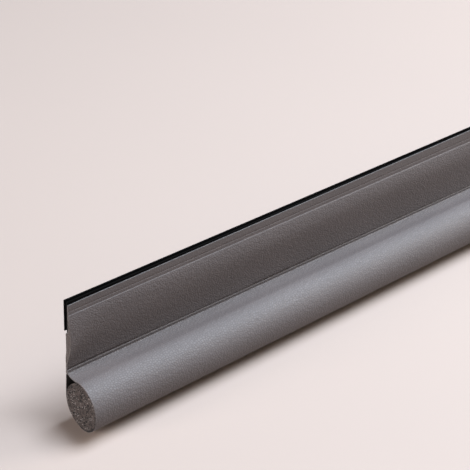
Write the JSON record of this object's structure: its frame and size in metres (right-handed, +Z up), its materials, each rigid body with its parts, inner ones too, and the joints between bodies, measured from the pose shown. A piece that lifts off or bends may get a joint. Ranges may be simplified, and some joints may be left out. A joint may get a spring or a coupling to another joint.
{
  "type": "door bottom seal",
  "caption": "Soft draught and noise seal for the foot of a door: a sheet folded round a foam rod, held to one face of the door by a hook-and-loop strip.",
  "frame": {"origin": "middle of the adhesive face that sticks to the door, half way along the seal and half way up the fastening", "axes": "+X along the foot of the door, +Y out of the adhesive face into the door, +Z up"},
  "size_m": [1, 0.0269, 0.0703],
  "materials": {
    "faux_leather": "fine-grained synthetic leather with a satin sheen, knitted backing",
    "foam": "open-cell foam, matt, porous on its cut ends",
    "loop_weave": "matt woven strip with a soft looped pile",
    "hook_weave": "matt woven strip with short stiff hooks and an adhesive back"
  },
  "bodies": {
    "root": {"cover": "faux_leather", "foam_rod": "foam", "loop_strip": "loop_weave", "hook_strip": "hook_weave"}
  },
  "joints": []
}
